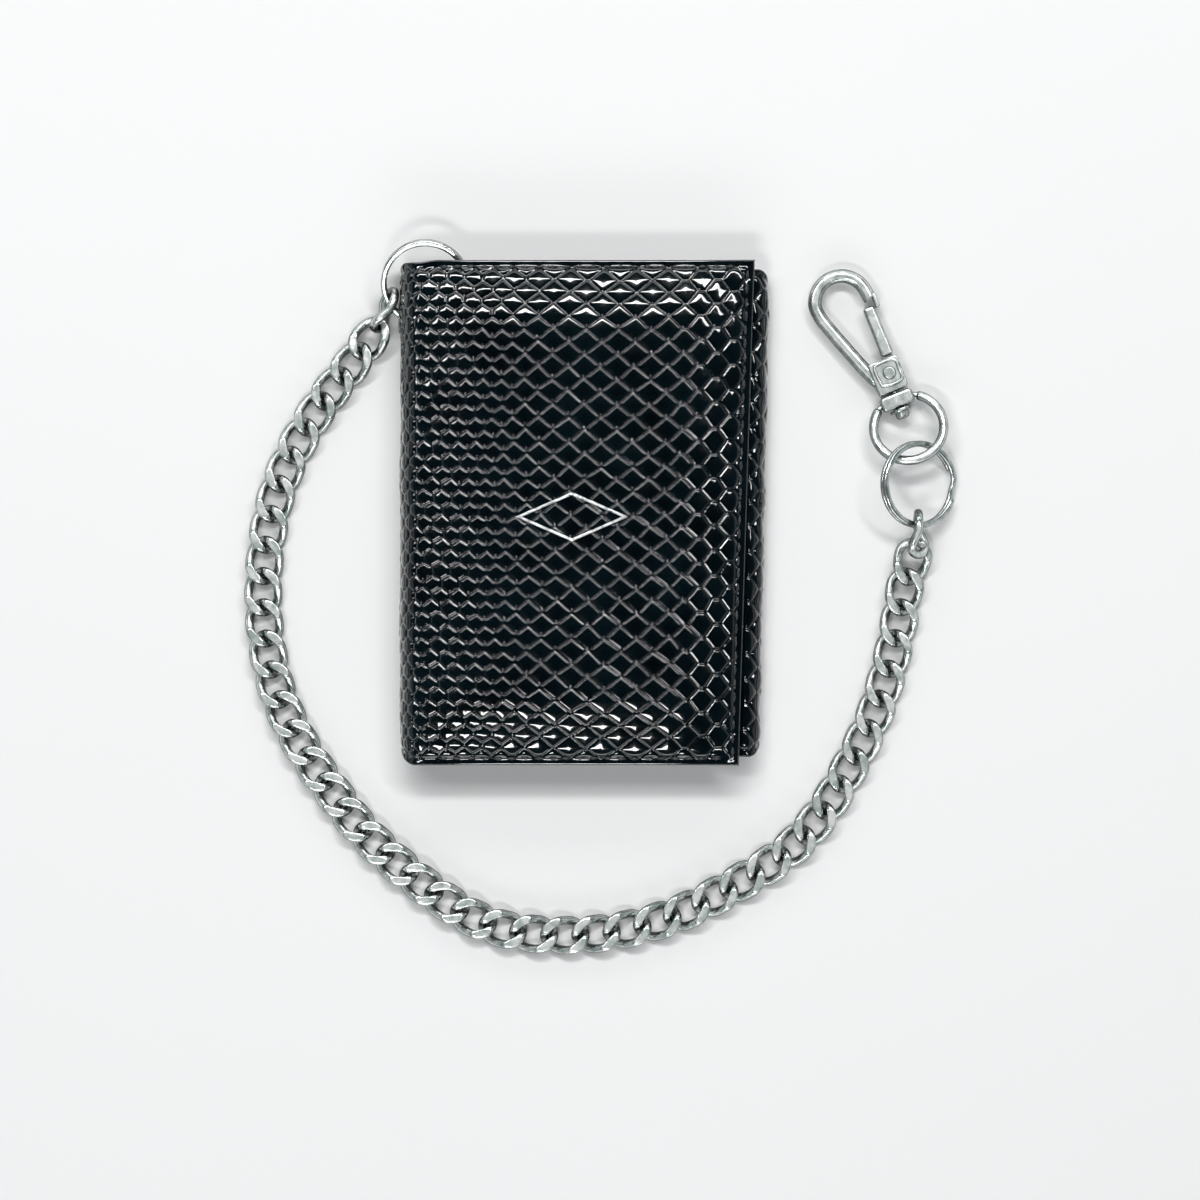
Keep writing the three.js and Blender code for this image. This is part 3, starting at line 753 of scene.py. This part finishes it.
def hook_body(material):
    """The teardrop arm, the lip on its nose, and the block with its slot and raised frame."""
    left, right, bottom, top = (BLOCK[side] for side in ("left", "right", "bottom", "top"))
    half, slot_half, web_half, lip_half = BLOCK["half"], BLOCK["slot_half"], 1.3, 1.5
    cheek = box_corners(left, right, bottom, top)
    back_web = box_corners(left, -1.8, bottom, top)
    foot_web = box_corners(-3.2, 3.5, 2.25, 4.1)
    lip = box_corners(3.45, 4.5, 21.2, 24.6)
    parts = [
        hook_arm(),
        rounded_plate(lip, 0.5, -lip_half, lip_half, 0.4),
        rounded_plate(cheek, 0.9, slot_half, half, 0.35),
        rounded_plate(cheek, 0.9, -half, -slot_half, 0.35),
        rounded_plate(back_web, 0.5, -web_half, web_half, 0.1),
        rounded_plate(foot_web, 0.5, -web_half, web_half, 0.1),
        rivet_frame(),
    ]
    return hook_piece("snap_hook_body", parts, "hook_body", "snap_hook", material)


def hook_gate(material):
    """The sprung bar that closes the hook, on a tongue in the block's slot."""
    bar = [(0.45, 10.1), (3.35, 10.1), (3.15, 22.1), (0.5, 22.1)]
    tongue = [(-0.8, 4.9), (2.1, 4.9), (2.8, 11), (0.6, 11)]
    bar_half, tongue_half = 1.4, 0.9
    parts = [
        rounded_plate(bar, 0.75, -bar_half, bar_half, 0.7),
        rounded_plate(tongue, 0.8, -tongue_half, tongue_half, 0.2),
    ]
    return hook_piece("snap_hook_gate", parts, "gate", "gate", material)


def barrel(material):
    """The swivel's cross bar, which the post goes through."""
    half_length, half_width, half_height = 3.85, 1.7, 2.1
    outline = box_corners(-half_length, half_length, -half_width, half_width)
    bar = rounded_plate(outline, 0.9, -half_height, half_height, 0.7)
    return hook_piece("swivel_cross_bar", [bar], "swivel_barrel", "swivel_barrel", material)


def refine(node, material, width, segments=2):
    """Gives a flat or turned CAD part its material and rounds every edge by `width`."""
    part = NODES[node]
    part.data.materials.clear()
    part.data.materials.append(material)
    weld = part.modifiers.new("weld", "WELD")
    weld.merge_threshold = 0.002 * MM
    bevel = part.modifiers.new("edge", "BEVEL")
    bevel.width = width * MM
    bevel.segments = segments
    bevel.limit_method = "ANGLE"
    bevel.angle_limit = radians(35)
    bevel.harden_normals = True
    part.data.shade_smooth()


# -------------------- embossed leather


ROWS_EACH_WAY = 14


def lattice(columns, row_height, spread):
    """Scale centres in staggered columns. Returns them as an array [column, row, 2]."""
    rows = np.arange(-ROWS_EACH_WAY, ROWS_EACH_WAY + 1)
    centres = np.zeros((len(columns), len(rows), 2))
    for i, x in enumerate(columns):
        centres[i, :, 0] = x
        centres[i, :, 1] = (rows + 0.5 * (i % 2)) * row_height
    return centres + random.uniform(-spread, spread, centres.shape)


def scale_pattern(u, v, centres, row_height, stretch, tilt):
    """Distance from each point to its scale's edge, and the lean of that scale's surface there."""
    columns = centres[:, :, 0].mean(1)
    near = np.clip(np.searchsorted(columns, u), 1, len(columns) - 1)
    picks = []
    for aside in (-3, -2, -1, 0, 1, 2):
        column = np.clip(near + aside, 0, len(columns) - 1)
        row = np.rint(v / row_height - 0.5 * (column % 2)).astype(int) + ROWS_EACH_WAY
        for beyond in (-1, 0, 1):
            picks.append((column, np.clip(row + beyond, 0, centres.shape[1] - 1)))
    gaps = []
    for column, row in picks:
        point = centres[column, row]
        gaps.append(np.stack([u - point[..., 0], (v - point[..., 1]) * stretch], -1))
    gaps = np.array(gaps)
    squared = np.sum(gaps**2, -1)
    best = np.argmin(squared, 0)[None]
    own = np.take_along_axis(squared, best, 0)
    own_gap = np.take_along_axis(gaps, best[..., None], 0)
    apart = np.linalg.norm(gaps - own_gap, axis=-1)
    tiny, far = 1e-6, 99
    border = np.where(apart > tiny, (squared - own) / (2 * np.maximum(apart, tiny)), far)
    rows = centres.shape[1]
    index = np.array([column * rows + row for column, row in picks])
    nearest = np.take_along_axis(index, best, 0)[0]
    lean = tilt[nearest // rows, nearest % rows]
    return border.min(0), np.sum(lean * own_gap[0], -1)


GROOVE = {"depth": 0.2, "floor": 0.1, "lip": 0.4}
DOME = {"height": 0.2, "reach": 2.4}
SCATTER = 0.26
LEAN = 0.03


def emboss(u, v, columns, row_height, stretch):
    """Height of the pressed scales over the plain leather, in millimetres."""
    centres = lattice(columns, row_height, SCATTER)
    tilt = random.uniform(-LEAN, LEAN, centres.shape)
    bent_u = u + 0.45 * np.sin(v / 15 + u / 21)
    bent_v = v + 0.55 * np.sin(u / 17 + 1.0) + 0.25 * np.sin(v / 9)
    edge, lean = scale_pattern(bent_u, bent_v, centres, row_height, stretch, tilt)
    groove = GROOVE["depth"] * (smoothstep(GROOVE["floor"], GROOVE["lip"], edge) - 1)
    dome = DOME["height"] * (1 - (1 - np.clip(edge / DOME["reach"], 0, 1)) ** 2)
    return groove + dome + lean * smoothstep(0, 0.5, edge)


def spaced(low, high, step, fine=(0.07, 0.18, 0.34)):
    """Grid lines from low to high, with a few closer ones at each end for the rounded edge."""
    inner = np.linspace(low + fine[-1] + step, high - fine[-1] - step, max(2, round((high - low) / step)))
    start = [low, *(low + f for f in fine)]
    end = [*(high - f for f in fine[::-1]), high]
    return np.concatenate([start, inner, end])


def cover_grid(left, right, half_height, step):
    """Each grid point's place across a cover, and its share of the half height."""
    share = spaced(-1.0, 1.0, step / half_height, (0.0012, 0.0032, 0.006))
    return np.meshgrid(spaced(left, right, step), share, indexing="ij")


def surface_normals(points):
    du = np.gradient(points, axis=0)
    dv = np.gradient(points, axis=1)
    return unit(np.cross(du, dv))


# The part of a sheet's outer face that counts as its painted edge.
RIM = 0.36


def shell(name, outer, inner, edge, materials, keep=None):
    """A closed sheet between two grids of the same size. Cells where `keep` is false are a hole.
    `edge` is each grid point's distance from the cut edge. The materials are its face's, or its
    face's, its edge's and its back's."""
    n, m = outer.shape[:2]
    if keep is None:
        keep = np.ones((n - 1, m - 1), bool)
    at = np.arange(n * m).reshape(n, m)
    layer = n * m
    corner = np.stack([at[:-1, :-1], at[1:, :-1], at[1:, 1:], at[:-1, 1:]], -1)[keep]
    faces = np.vstack([corner, corner[:, ::-1] + layer])
    padded = np.pad(keep, 1)
    sides = []
    for shift, a, b in (
        ((0, 1), (0, 0), (1, 0)),
        ((1, 0), (1, 0), (1, 1)),
        ((0, -1), (1, 1), (0, 1)),
        ((-1, 0), (0, 1), (0, 0)),
    ):
        beside = padded[1 + shift[0] : n + shift[0], 1 - shift[1] : m - shift[1]]
        i, j = np.nonzero(keep & ~beside)
        p, q = at[i + a[0], j + a[1]], at[i + b[0], j + b[1]]
        sides.append(np.stack([q, p, p + layer, q + layer], -1))
    sides = np.vstack(sides)
    vertices = np.concatenate([outer.reshape(-1, 3), inner.reshape(-1, 3)])
    used, packed = np.unique(np.vstack([faces, sides]), return_inverse=True)
    packed = packed.reshape(-1, 4)
    piece = make_piece(name, vertices[used], packed.tolist(), materials[0])
    if len(materials) > 1:
        for material in materials[1:]:
            piece.data.materials.append(material)
        on_rim = np.concatenate([edge.ravel() < RIM, np.ones(layer, bool)])[used]
        slots = on_rim[packed].all(1).astype(np.int32)
        slots[len(corner) : len(faces)] = 2
        slots[len(faces) :] = 1
        piece.data.polygons.foreach_set("material_index", slots)
    return piece


def rounded_edge(distance, radius=0.34):
    """How far the surface drops within `radius` of a cut edge."""
    d = np.clip(distance, 0, radius)
    return radius - np.sqrt(radius**2 - (radius - d) ** 2)


def flap_right(y):
    share = y / (2 * FLAP_HALF) + 0.5
    return FLAP_RIGHT["bottom"] + (FLAP_RIGHT["top"] - FLAP_RIGHT["bottom"]) * share


def rise(distance):
    return np.sin(math.pi / 2 * np.clip(distance / CROWN_SLOPE, 0, 1))


def crown(x, y):
    """The flap's padded height over its flat edge, as in the CAD."""
    beside = CROWN_AT_SPINE + (1 - CROWN_AT_SPINE) * rise(x - FLAP_LEFT)
    return CROWN * beside * rise(FLAP_HALF - np.abs(y)) * rise(flap_right(y) - x)


def half_ellipse(a, b):
    """Length of half an ellipse's outline, by Ramanujan's first formula."""
    return math.pi / 2 * (3 * (a + b) - math.sqrt((3 * a + b) * (a + 3 * b)))


SEAM_INSET = 1.5
ON_TABLE = 0.02
FLAP_SCALES = {"row": 5.55, "narrow": 2.0, "wide": 3.65, "longer": 0.26}
FOLD_SCALES = {"row": 5.7, "column": 3.6}


def seam_dip(distance):
    """The trough that a row of stitches pulls into the leather."""
    return 0.32 * np.exp(-(((distance - SEAM_INSET) / 0.75) ** 2))


def flap_surface(u, v):
    """Outer face of the flap and the spine. u runs left along the flap and then down the spine."""
    x_flat = np.maximum(u, SPINE_X)
    middle = (SPINE_BOTTOM + SPINE_TOP) / 2
    half_turn = half_ellipse(SPINE_BULGE, middle - SPINE_BOTTOM)
    angle = np.clip((SPINE_X - u) / half_turn, 0, 1) * math.pi
    top = FLAP_TOP + crown(x_flat, v)
    upper, lower = top - middle, middle - SPINE_BOTTOM
    x = x_flat - SPINE_BULGE * np.sin(angle)
    z = middle + np.where(angle < math.pi / 2, upper, lower) * np.cos(angle)
    return x, z, half_turn


def raised(plain, normals, height):
    """The plain surface moved out by `height`, but nowhere into the table."""
    outer = plain + normals * height[..., None]
    outer[..., 2] = np.maximum(outer[..., 2], ON_TABLE)
    return outer


def corner_pull(x, outermost, radius):
    """How much shorter a rounded corner makes the piece at `x`, near its outermost side."""
    inside = np.clip(radius - np.abs(outermost - x), 0, radius)
    return radius - np.sqrt(np.maximum(radius**2 - inside**2, 0))


def front_cover(*materials):
    half_turn = flap_surface(np.zeros(1), np.zeros(1))[2]
    widest = FLAP_RIGHT["top"]
    u, t = cover_grid(SPINE_X - half_turn, widest, FLAP_HALF, GRID)
    right = flap_right(t * FLAP_HALF)
    u = u - smoothstep(5, widest, u) * (widest - right)
    x, _, _ = flap_surface(u, t * FLAP_HALF)
    outermost = SPINE_X - SPINE_BULGE
    over = smoothstep(SPINE_X + 4, SPINE_X - 1, u)
    top_end = FLAP_HALF - over * (FLAP_HALF - SPINE_TOP_END)
    top_end -= corner_pull(x, outermost, SPINE_CORNER["top"])
    bottom_end = FLAP_HALF - corner_pull(x, outermost, SPINE_CORNER["bottom"])
    v = np.where(t > 0, t * top_end, t * bottom_end)
    x, z, _ = flap_surface(u, v)
    plain = np.stack([x, v, z], -1)
    normals = surface_normals(plain)

    narrow, wide = FLAP_SCALES["narrow"], FLAP_SCALES["wide"]
    columns = [44.0]
    while columns[-1] > SPINE_X - half_turn - 6:
        columns.append(columns[-1] - narrow - (wide - narrow) * float(smoothstep(-24, 0, columns[-1])))
    columns = np.array(columns[::-1])
    stretch = 1 + FLAP_SCALES["longer"] * smoothstep(-22, -4, u) * (1 - smoothstep(14, 30, u))
    ends = np.minimum(top_end - v, bottom_end + v)
    edge = np.minimum(ends, np.maximum(right - u, 0))
    height = emboss(u, v, columns, FLAP_SCALES["row"], stretch) * smoothstep(0.5, 2.2, edge)
    height -= seam_dip(edge) * smoothstep(SPINE_X - half_turn, SPINE_X - half_turn + 4, u)
    wrinkle = 0.12 * np.sin(v / 6.3 + 1.3 * np.sin(v / 11)) + 0.07 * np.sin(v / 2.9 + u / 3.1)
    height += wrinkle * smoothstep(-34, -40, u)
    outer = raised(plain, normals, height - rounded_edge(edge))
    inner = plain - normals * (LEATHER - 0.1 * rounded_edge(edge))[..., None]

    mid = (plain[:-1, :-1] + plain[1:, 1:]) / 2
    off_hole = np.hypot(mid[..., 1] - EYELET["y"], mid[..., 2] - EYELET["z"]) > EYELET["cut"]
    keep = off_hole | (mid[..., 0] > SPINE_X)
    cover = shell("front_cover", outer, inner, edge, materials, keep)
    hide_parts("flap_leather", "spine_leather")
    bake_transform(cover)
    return outer, u, v


def fold_to_world(points):
    lean = -math.degrees(math.atan(FOLD_LEAN))
    return points @ turn("Z", lean).T + np.array([FOLD_X, 0, 0])


# The inner panel's skin is thinner than the rest, so that its scales clear the flap's pockets.
UNDER_FLAP = 0.45


def fold_cover(*materials):
    """The inner panel's skin and the right-hand fold, in one sheet."""
    middle = (SPINE_BOTTOM + INNER_TOP) / 2
    high = middle - SPINE_BOTTOM
    half_turn = half_ellipse(FOLD_BULGE, high)
    u, t = cover_grid(-INNER_WIDTH, half_turn, BODY_HALF, GRID * 1.2)
    angle = np.clip(u / half_turn, 0, 1) * math.pi
    x = np.minimum(u, 0) + FOLD_BULGE * np.sin(angle)
    z = middle + high * np.cos(angle)
    ends = BODY_HALF - corner_pull(x, FOLD_BULGE, FOLD_CORNER)
    v = t * ends
    plain = np.stack([x, v, z], -1)
    normals = surface_normals(plain)
    columns = np.arange(-INNER_WIDTH - 6, half_turn + 8, FOLD_SCALES["column"])
    edge = np.minimum(ends - np.abs(v), u + INNER_WIDTH)
    height = emboss(u, v, columns, FOLD_SCALES["row"], 1) * smoothstep(0.5, 2.2, edge)
    height -= seam_dip(edge)
    wrinkle = 0.16 * np.sin(v / 3.1 + 1.2 * np.sin(v / 7)) + 0.08 * np.sin(v / 1.7 + u)
    height += wrinkle * smoothstep(-3, 1, u)
    height -= UNDER_FLAP * smoothstep(1, -2, u)
    outer = raised(plain, normals, height - rounded_edge(edge))
    inner = plain - normals * LEATHER
    world_outer = fold_to_world(outer.reshape(-1, 3)).reshape(outer.shape)
    world_inner = fold_to_world(inner.reshape(-1, 3)).reshape(outer.shape)
    cover = shell("fold_cover", world_outer, world_inner, edge, materials)
    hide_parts("inner_leather", "right_fold_leather")
    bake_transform(cover)


def flap_pad(material):
    """The foam under the flap's leather."""
    inset, base = 2.5, 10.48
    share_x, share_y = spaced(0, 1, 0.02, (0.002, 0.006)), spaced(-1, 1, 0.025, (0.002, 0.006))
    s, t = np.meshgrid(share_x, share_y, indexing="ij")
    y = t * (FLAP_HALF - inset)
    left, right = FLAP_LEFT + inset, flap_right(y) - inset
    x = left + (right - left) * s
    edge = np.minimum(np.minimum(x - left, right - x), FLAP_HALF - inset - np.abs(y))
    dimples = 0.03 * np.sin(x * 1.7) * np.sin(y * 1.9)
    top = base + 0.12 + 0.84 * crown(x, y) - 0.1 * rounded_edge(edge) + dimples * smoothstep(1, 4, edge)
    outer = np.stack([x, y, top], -1)
    inner = np.stack([x, y, np.full_like(x, base)], -1)
    pad = shell("foam_pad", outer, inner, edge, [material])
    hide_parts("flap_pad")
    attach(pad, "front_flap")


# -------------------- stitching and the foil mark


def stitch_row(name, points, body, material, side=1, lift=0.26):
    """A row of waxed stitches over `points`, on the upper (side 1) or lower (side -1) surface."""
    points = np.asarray(points, float)
    run = np.concatenate([[0], np.cumsum(np.linalg.norm(np.diff(points, axis=0), axis=1))])
    stitch, gap, radius, steps, sides = 2.35, 0.75, 0.3, 11, 10
    count = int(run[-1] // (stitch + gap))
    parts = []
    for k in range(count):
        start = k * (stitch + gap) + gap / 2
        at = np.linspace(start, start + stitch, steps)
        line = np.stack([np.interp(at, run, points[:, axis]) for axis in range(3)], 1)
        swell = np.sin(np.linspace(0, math.pi, steps))
        line[:, 2] += side * (lift * swell**0.6 - 0.12)
        aside = random.uniform(-0.06, 0.06)
        angles = np.arange(sides) / sides * 2 * math.pi
        along = unit(line[-1] - line[0])
        across = unit(np.cross([0, 0, 1.0], along))
        rings = []
        for i, centre in enumerate(line):
            twist = 1 + 0.14 * np.cos(2 * angles + i * 1.3)
            size = radius * max(0.25, swell[i] ** 0.5) * twist
            sideways = across * (size * np.cos(angles))[:, None]
            upwards = np.array([0, 0, 1.0]) * (size * np.sin(angles))[:, None]
            rings.append(centre + across * aside + sideways + upwards)
        parts.append((np.vstack(rings), [f[::-1] for f in grid_faces(steps, sides, False)]))
    row = make_piece(name, *merge(parts), material)
    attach(row, body)
    return row


def on_surface(outer, u, v, wanted_u, wanted_v):
    """Points of a cover's outer face nearest to the wanted (u, v) places."""
    found = []
    for a, b in zip(wanted_u, wanted_v):
        i = int(np.argmin(np.abs(u[:, u.shape[1] // 2] - a)))
        j = int(np.argmin(np.abs(v[i] - b)))
        i = int(np.argmin(np.abs(u[:, j] - a)))
        found.append(outer[i, j])
    return np.array(found)


def flap_stitches(outer, u, v, material):
    side = FLAP_HALF - SEAM_INSET
    for name, y in (("stitches_top", side), ("stitches_bottom", -side)):
        reach = float(flap_right(y)) - SEAM_INSET
        x = np.linspace(-33.5, reach, 120)
        points = on_surface(outer, u, v, x, np.full(120, y))
        stitch_row(name, points, "front_flap", material)
    y = np.linspace(-side, side, 200)
    points = on_surface(outer, u, v, flap_right(y) - SEAM_INSET, y)
    stitch_row("stitches_right", points, "front_flap", material)


POCKET_STEPS = ("front", "middle", "rear")


def pocket_trim(wing, body, thread_material, bead_material):
    """Stitches down both sides of a wing's three stepped pockets and a bead along each mouth."""
    below, beads = None, []
    for step in POCKET_STEPS:
        low, high = (np.array(corner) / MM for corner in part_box(f"{wing}_pocket_{step}"))
        start = low[1] + 1.5 if below is None else below + 0.6
        for side, x in (("left", low[0] + 1.1), ("right", high[0] - 1.1)):
            points = [(x, start, low[2]), (x, high[1] - 1.6, low[2])]
            name = f"{wing}_stitches_{step}_{side}"
            row = stitch_row(name, points, body, thread_material, side=-1, lift=0.0)
        x = np.linspace(low[0] + 0.5, high[0] - 0.5, 60)
        path = np.column_stack([x, np.full(60, high[1] - 0.8), np.full(60, low[2])])
        beads.append(sweep(path, facing_y(60), oval(0.9, 0.26, 10)))
        below = high[1]
    piece = make_piece(f"{wing}_pocket_beads", *merge(beads), bead_material)
    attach(piece, body)


def foil_mark(outer, u, v, material):
    """A plain lozenge outline pressed in silver foil."""
    centre, half_size, band = (-3.0, -1.0), (12.0, 5.2), 0.055
    count, rows, proud, sunk = 240, 4, 0.07, 0.1
    tips = np.array([(1, 0), (0, 1), (-1, 0), (0, -1), (1, 0)])
    share = np.arange(count) / count * 4
    along = np.stack([np.interp(share, range(5), tips[:, axis]) for axis in (0, 1)], 1)
    sizes = np.linspace(1 - band, 1 + band, rows)
    flat = (centre + along[:, None] * half_size * sizes[:, None]).reshape(-1, 2)
    height = on_surface(outer, u, v, flat[:, 0], flat[:, 1])[:, 2]
    top = np.column_stack([flat, height + proud]).reshape(count, rows, 3)
    bottom = np.column_stack([flat, height - sunk]).reshape(count, rows, 3)
    points = np.concatenate([top, bottom[:, ::-1]], 1).reshape(-1, 3)
    mark = make_piece("foil_lozenge", points, grid_faces(count, 2 * rows, True), material)
    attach(mark, "front_flap")


# -------------------- the making

add_camera()
chain_metal = nickel("nickel_chain", 0.15, 0.09, crevices=1.5, worn=0.42)
links, end_links, centres = build_chain(chain_metal)
ring_metal = nickel("nickel_ring", 0.14, 0.03, crevices=0.9, worn=0.86)
wallet_ring = split_ring("split_ring_wallet", WALLET_RING, "wallet_ring", "wallet_ring", ring_metal)
hook_ring = split_ring("split_ring_hook", HOOK_RING, "hook_ring", "hook_ring", ring_metal)
cast_metal = nickel("nickel_cast", 0.18, 0.02, crevices=0.8, worn=0.45)
eye_loop = swivel_eye(cast_metal)
hook_pieces = [hook_body(cast_metal), hook_gate(cast_metal), barrel(cast_metal)]
for turned_part in ("swivel_post", "gate_pin", "eyelet"):
    refine(turned_part, cast_metal, 0.1, 3)

add_studio()
add_floor()

patent = patent_leather()
painted = cut_edge()
plain_leather = inner_leather()
outer, u, v = front_cover(patent, painted, plain_leather)
fold_cover(patent, painted, plain_leather)
flap_pad(foam())
waxed = thread()
flap_stitches(outer, u, v, waxed)
foil_mark(outer, u, v, foil())

pocket_trim("flap", "front_flap", waxed, painted)

lining = woven("lining_cloth", (0.006, 0.006, 0.007), (0.03, 0.03, 0.034), 900)
for wing in ("inner", "flap"):
    for step in POCKET_STEPS:
        refine(f"{wing}_pocket_{step}", plain_leather, 0.12)
for node in ("note_pocket_lining", "note_divider", "inner_lining", "flap_lining"):
    refine(node, lining, 0.08)
stiff = board()
for node in ("back_board", "inner_board", "flap_board"):
    refine(node, stiff, 0.08)
refine("back_leather", patent, 0.25, 3)
refine("id_window_panel", plain_leather, 0.15)
refine("id_window_film", clear_film(), 0.05)

bpy.context.scene.view_settings.view_transform = "Standard"
